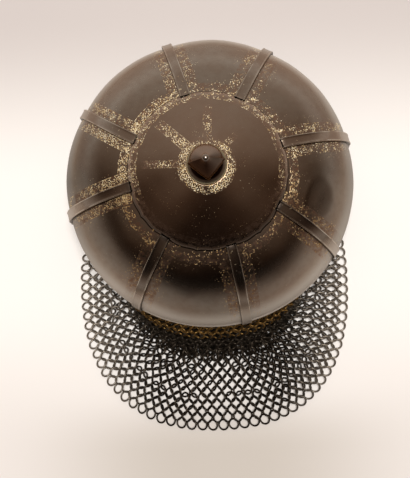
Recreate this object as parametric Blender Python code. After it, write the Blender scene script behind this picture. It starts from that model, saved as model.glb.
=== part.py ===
"""Indo-Persian helmet standing on a surface.

A low round skull of eight cushioned panels, a scalloped crown plate, eight ribs, a finial,
and a mail aventail hung round the back and sides that lies spread on the surface behind.
The skull's axis is vertical. Azimuths are degrees counter-clockwise from +X, seen from above;
angles "from the back" are degrees from -Y, positive towards +X.
"""

import math

import bpy
from mathutils import Vector

MM = 0.001
GAP = 0.35 * MM

# Place of the skull's axis, so that the whole object is centred on the origin
AXIS_X = 0.0 * MM
AXIS_Y = 37.8 * MM

# Skull
RIM_HEIGHT = 28.0 * MM
SKULL_RADIUS = 100.0 * MM
SKULL_WALL = 8.0 * MM
SHOULDER_RISE = 58.0 * MM
SKULL_PLATE = 1.6 * MM
LIP_REACH = 1.4 * MM
LIP_HEIGHT = 1.6 * MM
PANEL_BULGE = 1.2 * MM
BULGE_FULLNESS = 0.8
CUSHION_FULLNESS = 0.9
CROWN_MARGIN = 2.4 * MM

# Crown plate
CROWN_RADIUS = 50.9 * MM
CROWN_PLATE = 1.4 * MM
CROWN_SLOPE_AT_EDGE = 27.5
CROWN_SLOPE_AT_SEAT = 23.0
SEAT_RADIUS = 13.0 * MM
LOBE_REACH = 0.8 * MM
CUSP_REACH = 1.3 * MM
CUSP_WIDTH = 0.07
CROWN_LIP = 4.0 * MM
CROWN_BEVEL = 0.35 * MM
CROWN_CLEARANCE = 0.5 * MM

# Ribs: the eight panels are not quite equal and no rib points quite at the axis
RIB_AZIMUTHS = (
    # at the rim, at the crown plate
    (14.7, 17.9),
    (63.8, 64.3),
    (105.7, 104.7),
    (150.1, 154.9),
    (192.7, 190.3),
    (238.3, 236.0),
    (283.0, 285.5),
    (328.2, 331.3),
)
RIB_WIDTH = 7.0 * MM
RIB_RISE_INNER = 2.5 * MM
RIB_RISE_OUTER = 2.0 * MM
RIB_CHAMFER = 0.7 * MM
RIB_INNER_END = 52.2 * MM
RIB_OVER_LIP = 1.1 * MM
RIB_FOOT_TAPER = 0.3 * MM
RIB_FLARE = 2.2 * MM

# Finial
FINIAL_CORNER_AZIMUTH = 5.0

# Aventail
MAIL_THICKNESS = 2.0 * MM
MAIL_TOP_RADIUS = 98.6 * MM
MAIL_END_ANGLE = 115.0
MAIL_FOOT_RADIUS = 86.0 * MM
MAIL_FOOT_SPREAD = 36.5 * MM
MAIL_FOOT_SPREAD_ANGLE = 39.0
MAIL_FOOT_SPREAD_POWER = 3.2
MAIL_FOOT_FILLET = 0.6 * MM
HEM_CENTRE_BACK = 70.0 * MM
HEM_HALF_WIDTH = 98.0 * MM
HEM_DEPTH = 106.8 * MM
HEM_POWER_RIGHT = 2.45
HEM_POWER_LEFT = 2.35
HEM_SIDE_RADIUS = 96.0 * MM
HANGING_SHARES = (0.0, 0.40, 0.7, 0.9)
LYING_SHARES = (0.12, 0.4, 0.7, 1.0)
HANGING_CURVE = 1.2
BORDER_STATION = 1

# Fineness of the meshes
PANEL_STEPS = (0.0, 0.045, 0.13, 0.22, 0.31, 0.405, 0.5, 0.595, 0.69, 0.78, 0.87, 0.955)
SHOULDER_ANGLES = (0.0, 9.0, 18.0, 27.0, 36.0, 45.0, 52.0)
CROWN_RADII = (41.0 * MM, 27.0 * MM, SEAT_RADIUS)
MAIL_COLUMNS = 46
FINIAL_SIDES = 32
LIP_STATIONS = 3
HALVINGS = 40

# Largest angle in degrees across an edge that is shaded smooth
SMOOTH_PLATE = 35.0
SMOOTH_RIB = 30.0
SMOOTH_FINIAL = 28.0
SMOOTH_MAIL = 40.0

# Ring heights above the seat, radii, and how square the section is (0 round, 1 square)
FINIAL_RINGS = (
    # height, radius, squareness
    (0.0, 11.7, 0.0),
    (0.5, 12.4, 0.0),
    (2.1, 12.8, 0.0),
    (3.7, 12.0, 0.0),
    (4.7, 9.6, 0.0),
    (5.3, 8.1, 0.0),
    (6.3, 7.7, 0.1),
    (7.2, 8.6, 0.5),
    (9.0, 10.3, 0.9),
    (11.0, 11.0, 1.0),
    (13.2, 10.2, 1.0),
    (16.6, 7.8, 1.0),
    (20.4, 4.7, 1.0),
    (23.6, 1.9, 0.9),
)
FINIAL_HEIGHT = 25.2


def clear_scene():
    for item in list(bpy.data.objects):
        bpy.data.objects.remove(item, do_unlink=True)


def make_material(name, colour, metallic, roughness):
    material = bpy.data.materials.new(name)
    material.use_nodes = True
    shader = material.node_tree.nodes["Principled BSDF"]
    shader.inputs["Base Color"].default_value = (*colour, 1.0)
    shader.inputs["Metallic"].default_value = metallic
    shader.inputs["Roughness"].default_value = roughness
    return material


def make_object(name, points, faces, material, crease_angle):
    mesh = bpy.data.meshes.new(name)
    mesh.from_pydata([tuple(point) for point in points], [], faces)
    mesh.validate()
    mesh.materials.append(material)
    mesh.shade_smooth()
    mesh.set_sharp_from_angle(angle=math.radians(crease_angle))
    item = bpy.data.objects.new(name, mesh)
    item.location = (AXIS_X, AXIS_Y, 0.0)
    bpy.context.scene.collection.objects.link(item)
    return item


def polar(radius, azimuth, height):
    angle = math.radians(azimuth)
    return Vector((radius * math.cos(angle), radius * math.sin(angle), height))


def rib_azimuth(number, radius):
    """Azimuth of a rib's middle line at a distance from the axis."""
    at_rim, at_crown = RIB_AZIMUTHS[number]
    share = (SKULL_RADIUS - radius) / (SKULL_RADIUS - CROWN_RADIUS)
    return at_rim + (at_crown - at_rim) * min(max(share, 0.0), 1.0)


# ---------------------------------------------------------------- skull surface

def shoulder_height(radius):
    """Height above the rim of the round shoulder, a quarter of an ellipse."""
    share = min(radius / SKULL_RADIUS, 1.0)
    return SKULL_WALL + SHOULDER_RISE * math.sqrt(1.0 - share * share)


def crown_height(radius):
    """Height above the rim of the skull's top, under the crown plate."""
    run = SEAT_RADIUS - CROWN_RADIUS
    steep = math.tan(math.radians(CROWN_SLOPE_AT_EDGE))
    gentle = math.tan(math.radians(CROWN_SLOPE_AT_SEAT))
    inward = CROWN_RADIUS - max(radius, SEAT_RADIUS)
    return shoulder_height(CROWN_RADIUS) + steep * inward + (steep - gentle) / (2.0 * run) * inward ** 2


def skull_meridian():
    """Stations of the skull's outside from the rim to the seat: radius, height, share of bulge."""
    stations = [
        (SKULL_RADIUS + LIP_REACH, 0.0, 0.0),
        (SKULL_RADIUS + LIP_REACH, LIP_HEIGHT, 0.0),
        (SKULL_RADIUS, LIP_HEIGHT + LIP_REACH, 0.0),
    ]
    last = math.degrees(math.acos(CROWN_RADIUS / SKULL_RADIUS))
    margin = math.degrees(math.acos((CROWN_RADIUS + CROWN_MARGIN) / SKULL_RADIUS))
    for angle in SHOULDER_ANGLES + (margin, last):
        radius = SKULL_RADIUS * math.cos(math.radians(angle))
        bulge = max(math.sin(math.pi * angle / last), 0.0) ** BULGE_FULLNESS
        stations.append((radius, shoulder_height(radius), bulge))
    for radius in CROWN_RADII:
        stations.append((radius, crown_height(radius), 0.0))
    return stations


def panel_columns():
    """Panel of each column of the skull, and the column's share of the way across it."""
    return [(panel, share) for panel in range(len(RIB_AZIMUTHS)) for share in PANEL_STEPS]


def column_azimuth(column, radius):
    panel, share = column
    start = rib_azimuth(panel, radius)
    width = (rib_azimuth((panel + 1) % len(RIB_AZIMUTHS), radius) - start) % 360.0
    return start + share * width


def cushion(share):
    """0 beside the ribs and 1 in the middle of a panel."""
    edge = PANEL_STEPS[1]
    across = (share - edge) / (1.0 - 2.0 * edge)
    return math.sin(math.pi * min(max(across, 0.0), 1.0)) ** CUSHION_FULLNESS


def outward(stations, index):
    """Unit normal of a meridian, in radius and height, at one of its stations."""
    before = stations[max(index - 1, 0)]
    after = stations[min(index + 1, len(stations) - 1)]
    step = Vector((after[0] - before[0], after[1] - before[1]))
    normal = Vector((step.y, -step.x))
    return normal.normalized()


def skull_point(stations, index, column, depth=0.0):
    """A point of the skull's outside, or that far under it."""
    radius, height, bulge = stations[index]
    normal = outward(stations, index)
    shift = PANEL_BULGE * bulge * cushion(column[1]) - depth
    azimuth = column_azimuth(column, radius)
    return polar(radius + shift * normal.x, azimuth, RIM_HEIGHT + height + shift * normal.y)


def shell_faces(ring_starts, count, apex_top, apex_under):
    """Faces of a domed shell: rings from the top apex out, round the edge and back underneath."""
    faces = []
    first = ring_starts[0]
    last = ring_starts[-1]
    for step in range(count):
        after = (step + 1) % count
        faces.append((apex_top, first + step, first + after))
        faces.append((apex_under, last + after, last + step))
    for ring, following in zip(ring_starts, ring_starts[1:]):
        for step in range(count):
            after = (step + 1) % count
            faces.append((ring + step, following + step, following + after, ring + after))
    return faces


def make_shell(name, apex_top, rings, apex_under, material, crease_angle):
    """A closed shell from rings of points, listed from the top of the outside to that of the inside."""
    points = []
    starts = []
    for ring in rings:
        starts.append(len(points))
        points.extend(ring)
    points.append(apex_top)
    points.append(apex_under)
    faces = shell_faces(starts, len(rings[0]), len(points) - 2, len(points) - 1)
    return make_object(name, points, faces, material, crease_angle)


def make_skull(material):
    stations = skull_meridian()
    columns = panel_columns()
    outside = [[skull_point(stations, index, column) for column in columns]
               for index in reversed(range(len(stations)))]
    body = stations[LIP_STATIONS:]
    margin = len(SHOULDER_ANGLES)
    inside = [[skull_point(body, index, column, SKULL_PLATE) for column in columns]
              for index in range(1, len(body)) if index != margin]
    inner_radius = SKULL_RADIUS - SKULL_PLATE
    wall = [[polar(inner_radius, column_azimuth(column, inner_radius), RIM_HEIGHT + height)
             for column in columns] for height in (0.0, SKULL_WALL)]
    top = Vector((0.0, 0.0, RIM_HEIGHT + crown_height(0.0)))
    under = top - Vector((0.0, 0.0, SKULL_PLATE))
    return make_shell("skull", top, outside + wall + inside, under, material, SMOOTH_PLATE)


# ---------------------------------------------------------------- crown plate

def crown_edge(share):
    """Radius of the crown plate's outline: two lobes and a cusp over each panel."""
    lobes = LOBE_REACH * math.sin(2.0 * math.pi * share) ** 2
    cusp = CUSP_REACH * math.exp(-abs(share - 0.5) / CUSP_WIDTH)
    return CROWN_RADIUS + lobes + cusp


def crown_top(radius):
    """Height above the rim of the crown plate's outside."""
    slope = math.tan(math.radians(CROWN_SLOPE_AT_EDGE))
    rise = GAP + CROWN_PLATE * math.sqrt(1.0 + slope * slope)
    if radius > CROWN_RADIUS:
        return crown_height(CROWN_RADIUS) + rise - slope * (radius - CROWN_RADIUS)
    return crown_height(radius) + rise


def crown_underside(radius):
    """Height above the rim of the crown plate's underside, clear of the skull."""
    if radius > CROWN_RADIUS:
        return shoulder_height(radius) + CROWN_CLEARANCE
    return crown_height(radius) + GAP


def make_crown_plate(material):
    columns = panel_columns()
    edge = [crown_edge(share) for _, share in columns]
    azimuths = [column_azimuth(column, CROWN_RADIUS) for column in columns]

    def ring(radius, height):
        return [polar(radius, azimuth, RIM_HEIGHT + height) for azimuth in azimuths]

    def rim_ring(inset, height_of, lower):
        return [polar(reach - inset, azimuth, RIM_HEIGHT + height_of(reach - inset) - lower)
                for reach, azimuth in zip(edge, azimuths)]

    top = [ring(radius, crown_top(radius)) for radius in reversed(CROWN_RADII)]
    top.append(rim_ring(CROWN_LIP, crown_top, 0.0))
    top.append(rim_ring(CROWN_BEVEL, crown_top, 0.0))
    top.append(rim_ring(0.0, crown_top, CROWN_BEVEL))
    under = [rim_ring(0.0, crown_underside, 0.0)]
    under.append(ring(CROWN_RADIUS, crown_underside(CROWN_RADIUS)))
    under.extend(ring(radius, crown_underside(radius)) for radius in CROWN_RADII)
    peak = Vector((0.0, 0.0, RIM_HEIGHT + crown_top(0.0)))
    base = Vector((0.0, 0.0, RIM_HEIGHT + crown_underside(0.0)))
    return make_shell("crown_plate", peak, top + under, base, material, SMOOTH_PLATE)


# ---------------------------------------------------------------- ribs

def rib_meridian():
    """Stations of a rib's underside from the crown plate to the rim: radius, height, normal, rise."""
    stations = skull_meridian()
    margin = LIP_STATIONS + len(SHOULDER_ANGLES)
    line = [(RIB_INNER_END, shoulder_height(RIB_INNER_END), outward(stations, margin))]
    for index in range(margin, LIP_STATIONS - 1, -1):
        radius, height, _ = stations[index]
        line.append((radius, height, outward(stations, index)))
    level = Vector((1.0, 0.0))
    line.append((SKULL_RADIUS, LIP_HEIGHT + RIB_FLARE, level))
    step = (RIB_RISE_OUTER - RIB_RISE_INNER) / (len(line) - 1)
    line = [(*station, RIB_RISE_INNER + step * index) for index, station in enumerate(line)]
    line.append((SKULL_RADIUS + LIP_REACH, LIP_HEIGHT, level, RIB_OVER_LIP))
    line.append((SKULL_RADIUS + LIP_REACH, 0.0, level, RIB_OVER_LIP - RIB_FOOT_TAPER))
    return line


def rib_section(radius, height, normal, rise, azimuth):
    """Six points across a rib: two feet, two chamfered edges and the flat top's two edges."""
    angle = math.radians(azimuth)
    across = Vector((-math.sin(angle), math.cos(angle), 0.0))
    up = Vector((normal.x * math.cos(angle), normal.x * math.sin(angle), normal.y))
    foot = polar(radius, azimuth, RIM_HEIGHT + height) + GAP * up
    half = RIB_WIDTH / 2.0
    shoulder = rise - RIB_CHAMFER / 2.0
    outline = (
        # across, up
        (-half, 0.0),
        (-half, shoulder),
        (-half + RIB_CHAMFER, rise),
        (half - RIB_CHAMFER, rise),
        (half, shoulder),
        (half, 0.0),
    )
    return [foot + side * across + lift * up for side, lift in outline]


def make_rib(number, material):
    sections = [rib_section(radius, height, normal, rise, rib_azimuth(number, radius))
                for radius, height, normal, rise in rib_meridian()]
    size = len(sections[0])
    points = [point for section in sections for point in section]
    faces = [tuple(range(size))]
    for start in range(0, len(points) - size, size):
        for side in range(size):
            after = (side + 1) % size
            faces.append((start + side, start + size + side, start + size + after, start + after))
    faces.append(tuple(reversed(range(len(points) - size, len(points)))))
    return make_object("rib_%d" % (number + 1), points, faces, material, SMOOTH_RIB)


# ---------------------------------------------------------------- finial

def square_radius(radius, squareness, angle):
    """Radius in a direction of a section between a circle and a square with its corners at that radius."""
    corner = math.radians(FINIAL_CORNER_AZIMUTH)
    within = (angle - corner) % (math.pi / 2.0) - math.pi / 4.0
    square = radius * math.cos(math.pi / 4.0) / math.cos(within)
    return radius + squareness * (square - radius)


def make_finial(material):
    seat = RIM_HEIGHT + crown_top(0.0) + GAP
    points = []
    for height, radius, squareness in FINIAL_RINGS:
        for side in range(FINIAL_SIDES):
            angle = math.radians(FINIAL_CORNER_AZIMUTH) + 2.0 * math.pi * side / FINIAL_SIDES
            reach = square_radius(radius * MM, squareness, angle)
            points.append(Vector((reach * math.cos(angle), reach * math.sin(angle), seat + height * MM)))
    points.append(Vector((0.0, 0.0, seat)))
    points.append(Vector((0.0, 0.0, seat + FINIAL_HEIGHT * MM)))
    base, tip = len(points) - 2, len(points) - 1
    faces = []
    for side in range(FINIAL_SIDES):
        after = (side + 1) % FINIAL_SIDES
        for ring in range(len(FINIAL_RINGS) - 1):
            low = ring * FINIAL_SIDES
            high = low + FINIAL_SIDES
            faces.append((low + side, low + after, high + after, high + side))
        last = (len(FINIAL_RINGS) - 1) * FINIAL_SIDES
        faces.append((base, after, side))
        faces.append((tip, last + side, last + after))
    return make_object("finial", points, faces, material, SMOOTH_FINIAL)


# ---------------------------------------------------------------- aventail

def foot_radius(angle):
    """Distance from the axis at which the hanging mail meets the surface."""
    spread = math.exp(-(abs(angle) / MAIL_FOOT_SPREAD_ANGLE) ** MAIL_FOOT_SPREAD_POWER)
    return MAIL_FOOT_RADIUS + MAIL_FOOT_SPREAD * spread


def hem_excess(radius, turn, power):
    """Above 0 outside the hem's outline, a squarish oval centred behind the skull, and below 0 inside."""
    across = abs(radius * math.sin(turn)) / HEM_HALF_WIDTH
    back = abs(radius * math.cos(turn) - HEM_CENTRE_BACK) / HEM_DEPTH
    return across ** power + back ** power - 1.0


def hem_radius(angle):
    """Distance from the axis of the hem, found by halving."""
    turn = math.radians(angle)
    power = HEM_POWER_RIGHT if angle > 0.0 else HEM_POWER_LEFT
    low = HEM_CENTRE_BACK * max(math.cos(turn), 0.0)
    high = HEM_CENTRE_BACK + HEM_DEPTH
    for _ in range(HALVINGS):
        middle = (low + high) / 2.0
        if hem_excess(middle, turn, power) > 0.0:
            high = middle
        else:
            low = middle
    return max(low, HEM_SIDE_RADIUS)


def mail_line(angle):
    """Middle of the mail in one vertical plane: radius and height from the rim to the hem."""
    top = RIM_HEIGHT - GAP
    flat = MAIL_THICKNESS / 2.0
    foot = foot_radius(angle)
    hem = hem_radius(angle)
    line = []
    for share in HANGING_SHARES:
        radius = MAIL_TOP_RADIUS + (foot - MAIL_TOP_RADIUS) * share ** HANGING_CURVE
        line.append(Vector((radius, flat + (top - flat) * (1.0 - share))))
    line.append(Vector((foot + MAIL_FOOT_FILLET, flat)))
    for share in LYING_SHARES:
        line.append(Vector((foot + (hem - foot) * share, flat)))
    return line


def mail_section(line, angle, at_rim):
    """Upper side of the mail followed by its underside, as points in the plane at that angle."""
    upper = []
    lower = []
    for index, middle in enumerate(line):
        into = (middle - line[index - 1]).normalized() if index else None
        out = (line[index + 1] - middle).normalized() if index < len(line) - 1 else None
        directions = [step for step in (into, out) if step is not None]
        normals = [Vector((-step.y, step.x)) for step in directions]
        normal = sum(normals, Vector((0.0, 0.0))).normalized()
        half = MAIL_THICKNESS / 2.0 / normal.dot(normals[0])
        if index == 0 and at_rim:
            normal = Vector((1.0, 0.0))
        elif index == 0:
            middle = middle + directions[0] * GAP
        upper.append(middle + half * normal)
        lower.append(middle - half * normal)
    azimuth = angle - 90.0
    return [polar(point.x, azimuth, point.y) for point in upper + list(reversed(lower))]


def make_mail(name, span, at_rim, material):
    """A closed curtain over a span of the mail line's stations, round the back and sides."""
    points = []
    for column in range(MAIL_COLUMNS + 1):
        angle = MAIL_END_ANGLE * (2.0 * column / MAIL_COLUMNS - 1.0)
        section = mail_section(mail_line(angle)[span], angle, at_rim)
        points.extend(section)
    size = len(section)
    faces = [tuple(reversed(range(size)))]
    for column in range(MAIL_COLUMNS):
        start = column * size
        for side in range(size):
            after = (side + 1) % size
            faces.append((start + side, start + after, start + size + after, start + size + side))
    faces.append(tuple(range(len(points) - size, len(points))))
    return make_object(name, points, faces, material, SMOOTH_MAIL)


def main():
    clear_scene()
    russet = make_material("russet_steel", (0.075, 0.048, 0.034), 0.9, 0.32)
    dark = make_material("dark_steel", (0.055, 0.040, 0.032), 0.9, 0.28)
    mail = make_material("mail_steel", (0.045, 0.038, 0.032), 0.9, 0.42)
    brass = make_material("mail_brass", (0.30, 0.19, 0.07), 0.9, 0.40)
    make_skull(russet)
    make_crown_plate(russet)
    for number in range(len(RIB_AZIMUTHS)):
        make_rib(number, russet)
    make_finial(dark)
    make_mail("aventail_border", slice(0, BORDER_STATION + 1), True, brass)
    make_mail("aventail", slice(BORDER_STATION, None), False, mail)


main()
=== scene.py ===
"""Looks of an Indo-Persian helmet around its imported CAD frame.

Lengths in the shape functions are millimetres from the skull's axis and from the surface that
the helmet stands on; put() turns them into metres in the frame's own space. Azimuths are degrees
counter-clockwise from +X, and angles "from the back" are degrees from -Y, positive towards +X.
The materials read these lengths as attributes of the points, and object coordinates in metres.
"""

import math
import random

import bpy
import numpy as np
from mathutils import Matrix, Vector


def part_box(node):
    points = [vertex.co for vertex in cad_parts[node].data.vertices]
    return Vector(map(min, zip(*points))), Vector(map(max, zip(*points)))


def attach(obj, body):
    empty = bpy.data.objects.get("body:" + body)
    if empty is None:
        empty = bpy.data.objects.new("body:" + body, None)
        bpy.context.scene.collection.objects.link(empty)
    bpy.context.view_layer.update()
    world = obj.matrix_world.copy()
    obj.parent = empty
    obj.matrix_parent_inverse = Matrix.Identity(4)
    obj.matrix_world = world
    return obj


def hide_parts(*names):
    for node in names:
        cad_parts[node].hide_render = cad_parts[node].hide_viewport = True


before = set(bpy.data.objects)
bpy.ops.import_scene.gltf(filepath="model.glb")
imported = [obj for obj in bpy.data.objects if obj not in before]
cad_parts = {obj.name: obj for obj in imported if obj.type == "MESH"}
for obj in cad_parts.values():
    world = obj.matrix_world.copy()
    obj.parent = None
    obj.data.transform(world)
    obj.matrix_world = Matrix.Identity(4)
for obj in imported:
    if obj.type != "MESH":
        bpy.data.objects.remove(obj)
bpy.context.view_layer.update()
FINIAL_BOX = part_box("finial")
AXIS = (FINIAL_BOX[0] + FINIAL_BOX[1]) / 2.0
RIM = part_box("skull")[0].z * 1000.0

PANELS = 8
SKULL_RADIUS = 100.0
SKULL_WALL = 8.0
SHOULDER_RISE = 58.0
SKULL_PLATE = 1.6
PANEL_BULGE = 1.2
DENT_AZIMUTH = 344.5
DENT_RADIUS = 74.5
CROWN_RADIUS = 50.9
CROWN_PLATE = 1.4
SEAT_RADIUS = 13.0
GAP = 0.35
STEEP = math.tan(math.radians(27.5))
GENTLE = math.tan(math.radians(23.0))
RIB_AZIMUTHS = (
    # at the rim, at the crown plate
    (14.7, 17.9),
    (63.8, 64.3),
    (105.7, 104.7),
    (150.1, 154.9),
    (192.7, 190.3),
    (238.3, 236.0),
    (283.0, 285.5),
    (328.2, 331.3),
)
RIB_HALF = 3.5
RIB_RISE_INNER = 2.5
RIB_RISE_OUTER = 2.0
MAIL_END = 115.0
MAIL_TOP_RADIUS = 98.6
RING_RADIUS = 3.6
WIRE = 0.66
CLEARANCE = 0.02
CAMERA_PLACE = (0.011038, -0.049899, 0.593532)
CAMERA_FORWARD = (-0.02758, 0.08536, -0.99597)
CAMERA_UP = (0.03329, 0.99587, 0.08443)
CAMERA_LENS = 60.251
PER_DEGREE = math.radians(1.0)
ON_SLOPE = 1.07
UP = np.array((0.0, 0.0, 1.0))
COLUMNS = 64
AROUND, TUBE = ((22, 7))

random.seed(11)
noise_random = np.random.default_rng(11)


# ------------------------------ shapes

def shoulder(r):
    """Height of the skull above its rim, a quarter of an ellipse on a short upright wall."""
    inside = np.clip(1.0 - (np.asarray(r) / SKULL_RADIUS) ** 2, 0.0, None)
    return SKULL_WALL + SHOULDER_RISE * np.sqrt(inside)


def shoulder_normal(r):
    """Outward and upward parts of the skull's normal, not of unit length."""
    return r / SKULL_RADIUS ** 2, (shoulder(r) - SKULL_WALL) / SHOULDER_RISE ** 2


def crown(r):
    """Height of the skull under the crown plate: a cone that is less steep towards its middle."""
    inward = CROWN_RADIUS - np.maximum(r, SEAT_RADIUS)
    easing = (STEEP - GENTLE) / (2.0 * (SEAT_RADIUS - CROWN_RADIUS))
    return shoulder(CROWN_RADIUS) + STEEP * inward + easing * inward ** 2


def crown_top(r):
    rise = GAP + CROWN_PLATE * math.sqrt(1.0 + STEEP ** 2)
    outside = crown(CROWN_RADIUS) - STEEP * (r - CROWN_RADIUS)
    return rise + np.where(r > CROWN_RADIUS, outside, crown(np.minimum(r, CROWN_RADIUS)))


def crown_edge(share):
    """Radius of the crown plate's edge: two lobes over each panel and a cusp between them."""
    lobe_reach, cusp_reach, cusp_width = 0.8, 1.3, 0.07
    lobes = lobe_reach * np.sin(2.0 * np.pi * share) ** 2
    return CROWN_RADIUS + lobes + cusp_reach * np.exp(-np.abs(share - 0.5) / cusp_width)


def rib_azimuth(number, r):
    share = np.clip((SKULL_RADIUS - r) / (SKULL_RADIUS - CROWN_RADIUS), 0.0, 1.0)
    at_rim, at_crown = np.array(RIB_AZIMUTHS)[np.asarray(number) % PANELS].T
    return at_rim + (at_crown - at_rim) * share


def smooth(value, low, high):
    """0 at low and 1 at high, softly."""
    share = np.clip((np.asarray(value, dtype=float) - low) / (high - low), 0.0, 1.0)
    return share * share * (3.0 - 2.0 * share)


def cushion(share):
    """Swelling across a panel, 0 beside its ribs and 1 in its middle."""
    margin = 0.045
    across = np.clip((share - margin) / (1.0 - 2.0 * margin), 0.0, 1.0)
    return np.sin(np.pi * across) ** 0.9


def foot_radius(angle):
    """Radius where the hanging mail meets the surface, by angle from the back."""
    at_sides, further_behind, spread = 86.0, 36.5, 39.0
    return at_sides + further_behind * np.exp(-(np.abs(angle) / spread) ** 3.2)


def hem_radius(angle):
    """Radius of the mail's hem by angle from the back, on an oval found by halving."""
    centre, half_width, half_length, least = 70.0, 98.0, 106.8, 96.0
    turn = np.radians(angle)
    power = np.where(angle > 0.0, 2.45, 2.35)
    low = centre * np.maximum(np.cos(turn), 0.0)
    high = np.full_like(low, centre + half_length)
    for _ in range(40):
        middle = (low + high) / 2.0
        across = np.abs(middle * np.sin(turn)) / half_width
        back = np.abs(middle * np.cos(turn) - centre) / half_length
        outside = across ** power + back ** power > 1.0
        high = np.where(outside, middle, high)
        low = np.where(outside, low, middle)
    return np.maximum(low, least)


def unevenness(x, y, z):
    """Slight hammered waviness of a plate, from -1 to 1."""
    wave = np.sin(0.111 * x + 0.6) * np.sin(0.123 * y + 1.9) + 0.6 * np.sin(0.19 * x - 0.13 * y + 0.4)
    return (wave + 0.5 * np.sin(0.31 * y + 0.17 * z + 2.2) * np.sin(0.27 * x - 0.8)) / 2.1


# ------------------------------ meshes

def put(points):
    """Millimetres from the axis to metres in the frame."""
    return np.asarray(points, dtype=np.float64) / 1000.0 + np.array((AXIS.x, AXIS.y, 0.0))


def build(name, points, quads, material, replaced, sharp=None, values=None):
    """A mesh object from arrays of points and quads (a quad whose last corner repeats is a triangle)."""
    quads = np.asarray(quads, dtype=np.int32)
    faces = [tuple(q) if q[2] != q[3] else tuple(q[:3]) for q in quads.tolist()]
    mesh = bpy.data.meshes.new(name)
    mesh.from_pydata(put(points).tolist(), [], faces)
    for key, value in (values or {}).items():
        attribute = mesh.attributes.new(key, "FLOAT", "POINT")
        attribute.data.foreach_set("value", np.asarray(value, dtype=np.float32).ravel())
    mesh.materials.append(material)
    mesh.shade_smooth()
    if sharp:
        mesh.set_sharp_from_angle(angle=math.radians(sharp))
    item = bpy.data.objects.new(name, mesh)
    bpy.context.scene.collection.objects.link(item)
    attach(item, "root")
    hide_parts(*replaced)


def polar(r, azimuth, z):
    turn = np.radians(azimuth)
    r, turn, z = np.broadcast_arrays(r, turn, z)
    return np.stack((r * np.cos(turn), r * np.sin(turn), z), axis=-1)


def ring_quads(rings, count, start=0):
    """Quads between consecutive closed rings of points, outward when the rings run down the outside."""
    ring, step = np.meshgrid(np.arange(rings - 1), np.arange(count), indexing="ij")
    after = (step + 1) % count
    low = start + ring * count
    corners = (low + step, low + count + step, low + count + after, low + after)
    return np.stack(corners, axis=-1).reshape(-1, 4)


def closed_shell(rings):
    """Points and quads of a shell from rings, the first and last of which are closed by one point."""
    count = rings.shape[1]
    top = rings[0].mean(axis=0)
    under = rings[-1].mean(axis=0)
    points = np.concatenate((rings.reshape(-1, 3), [top, under]))
    quads = [ring_quads(rings.shape[0], count)]
    step = np.arange(count)
    after = (step + 1) % count
    apex = np.full(count, len(points) - 2)
    quads.append(np.stack((apex, step, after, after), axis=-1))
    last = (rings.shape[0] - 1) * count
    quads.append(np.stack((apex + 1, last + after, last + step, last + step), axis=-1))
    return points, np.concatenate(quads)


def closed_values(values):
    """Values for a closed shell: those of its rings' points, then of its two end points."""
    flat = {key: np.array(value).ravel() for key, value in values.items()}
    return {key: np.append(value, value[[0, -1]]) for key, value in flat.items()}


share_row = np.tile(np.arange(COLUMNS) / COLUMNS, PANELS)
panel_row = np.repeat(np.arange(PANELS), COLUMNS)


def panel_span(r):
    """Azimuth of the rib before every column and the panel's width there, at a radius."""
    start = rib_azimuth(panel_row, r)
    return start, (rib_azimuth(panel_row + 1, r) - start) % 360.0


def columns_azimuth(r):
    start, width = panel_span(r)
    return start + share_row * width


def band_values(radii, along):
    """Values for the gold: distance from the nearest rib, along it, out from the crown, side of the rib."""
    side, run, ring, lane = [], [], [], []
    for r, s in zip(radii, along):
        _, width = panel_span(r)
        left = r * np.sin(np.radians(share_row * width))
        right = r * np.sin(np.radians((1.0 - share_row) * width))
        side.append(np.minimum(left, right))
        lane.append(panel_row * 2.0 + (right < left))
        run.append(s + np.zeros(len(share_row)))
        ring.append((r - crown_edge(share_row)) * ON_SLOPE)
    return {"side": side, "run": run, "ring": ring, "lane": lane}


def by_azimuth(table, azimuth):
    """Each column of a table at an azimuth; its rows start with azimuths from 0 up."""
    keys, *columns = zip(*table)
    return [np.interp(azimuth, keys, column, period=360.0) for column in columns]


def gold_left(azimuth, r):
    """How much gold is left round the helmet: 0 is next to none and 1 nearly all."""
    table = (
        # azimuth, near the crown, near the rim
        (0.0, 0.75, 0.24),
        (25.0, 0.62, 0.28),
        (60.0, 0.45, 0.28),
        (90.0, 0.42, 0.25),
        (110.0, 0.60, 0.38),
        (135.0, 0.92, 0.44),
        (155.0, 1.05, 0.46),
        (180.0, 1.16, 0.48),
        (195.0, 1.08, 0.38),
        (215.0, 0.45, 0.20),
        (240.0, 0.20, 0.15),
        (270.0, 0.05, 0.05),
        (300.0, 0.20, 0.10),
        (325.0, 0.40, 0.12),
        (345.0, 0.80, 0.18),
    )
    near, far = by_azimuth(table, azimuth)
    share = np.clip((r - 52.0) / 42.0, 0.0, 1.0)
    return near + (far - near) * share


def below_crown(azimuth):
    """1 on the side of the helmet towards the back (-Y), 0 on the other."""
    return smooth(-np.sin(np.radians(azimuth)), -0.25, 0.55)


def dirt_and_painted_shade(azimuth, r):
    """How light the bare steel is, by azimuth and radius: partly dirt by the rim, partly painted shade and
    sheen that make each side darker or lighter as the light falls.
    """
    table = (
        # azimuth, then at radius 60, 78, 90, 98
        (0.0, 0.82, 0.62, 0.60, 0.55),
        (45.0, 0.95, 0.92, 0.95, 1.05),
        (90.0, 0.95, 0.93, 0.95, 1.2),
        (135.0, 0.95, 0.95, 0.95, 1.0),
        (180.0, 0.76, 0.54, 0.40, 0.30),
        (225.0, 0.78, 0.72, 0.92, 1.15),
        (270.0, 0.68, 0.68, 0.80, 1.0),
        (315.0, 0.85, 0.92, 0.97, 1.0),
    )
    levels = by_azimuth(table, azimuth)
    places = (60.0, 78.0, 90.0, 98.0)
    result = levels[0]
    for k in range(3):
        share = np.clip((r - places[k]) / (places[k + 1] - places[k]), 0.0, 1.0)
        result = result + share * (levels[k + 1] - levels[k])
    return result


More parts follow.
